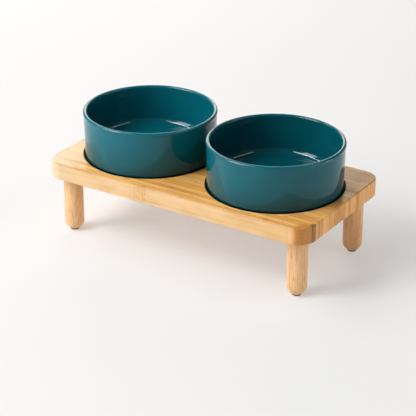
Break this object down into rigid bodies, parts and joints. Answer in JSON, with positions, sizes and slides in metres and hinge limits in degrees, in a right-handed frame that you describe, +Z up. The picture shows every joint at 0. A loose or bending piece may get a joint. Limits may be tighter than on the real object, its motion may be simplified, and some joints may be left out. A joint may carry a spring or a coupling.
{
  "type": "elevated double pet bowl",
  "caption": "Low bamboo stand on round dowel legs with shallow recesses that hold straight-sided, teal glazed pet bowls at muzzle height; the bowls turn and lift out.",
  "frame": {"origin": "on the floor under the middle of the board", "axes": "+X along the board towards the right-hand bowl, +Y towards the rear, +Z up"},
  "size_m": [0.3388, 0.1706, 0.1415],
  "materials": {
    "bamboo": "satin",
    "leg_wood": "satin",
    "teal_glaze": "gloss",
    "dark_silicone": "matte",
    "foot_rubber": "matte",
    "zinc_steel": "zinc plated",
    "insert_brass": "plain"
  },
  "bodies": {
    "stand": {"stand_board": "bamboo", "leg_front_left": "leg_wood", "foot_pad_front_left": "foot_rubber", "hanger_bolt_front_left": "zinc_steel", "threaded_insert_front_left": "insert_brass", "leg_front_right": "leg_wood", "foot_pad_front_right": "foot_rubber", "hanger_bolt_front_right": "zinc_steel", "threaded_insert_front_right": "insert_brass", "leg_rear_left": "leg_wood", "foot_pad_rear_left": "foot_rubber", "hanger_bolt_rear_left": "zinc_steel", "threaded_insert_rear_left": "insert_brass", "leg_rear_right": "leg_wood", "foot_pad_rear_right": "foot_rubber", "hanger_bolt_rear_right": "zinc_steel", "threaded_insert_rear_right": "insert_brass"},
    "seat_left": {"seat_ring_left": "dark_silicone"},
    "bowl_left": {"bowl_left": "teal_glaze"},
    "seat_right": {"seat_ring_right": "dark_silicone"},
    "bowl_right": {"bowl_right": "teal_glaze"}
  },
  "joints": [
    {"name": "bowl_left_turn", "type": "hinge", "parent": "stand", "child": "seat_left", "pos_m": [-0.08225, 0, 0.084], "axis": [0, 0, 1], "continuous": true},
    {"name": "bowl_left_lift", "type": "slide", "parent": "seat_left", "child": "bowl_left", "axis": [0, 0, 1], "range_m": [0, 0.08]},
    {"name": "bowl_right_turn", "type": "hinge", "parent": "stand", "child": "seat_right", "pos_m": [0.08225, 0, 0.084], "axis": [0, 0, 1], "continuous": true},
    {"name": "bowl_right_lift", "type": "slide", "parent": "seat_right", "child": "bowl_right", "axis": [0, 0, 1], "range_m": [0, 0.08]}
  ]
}
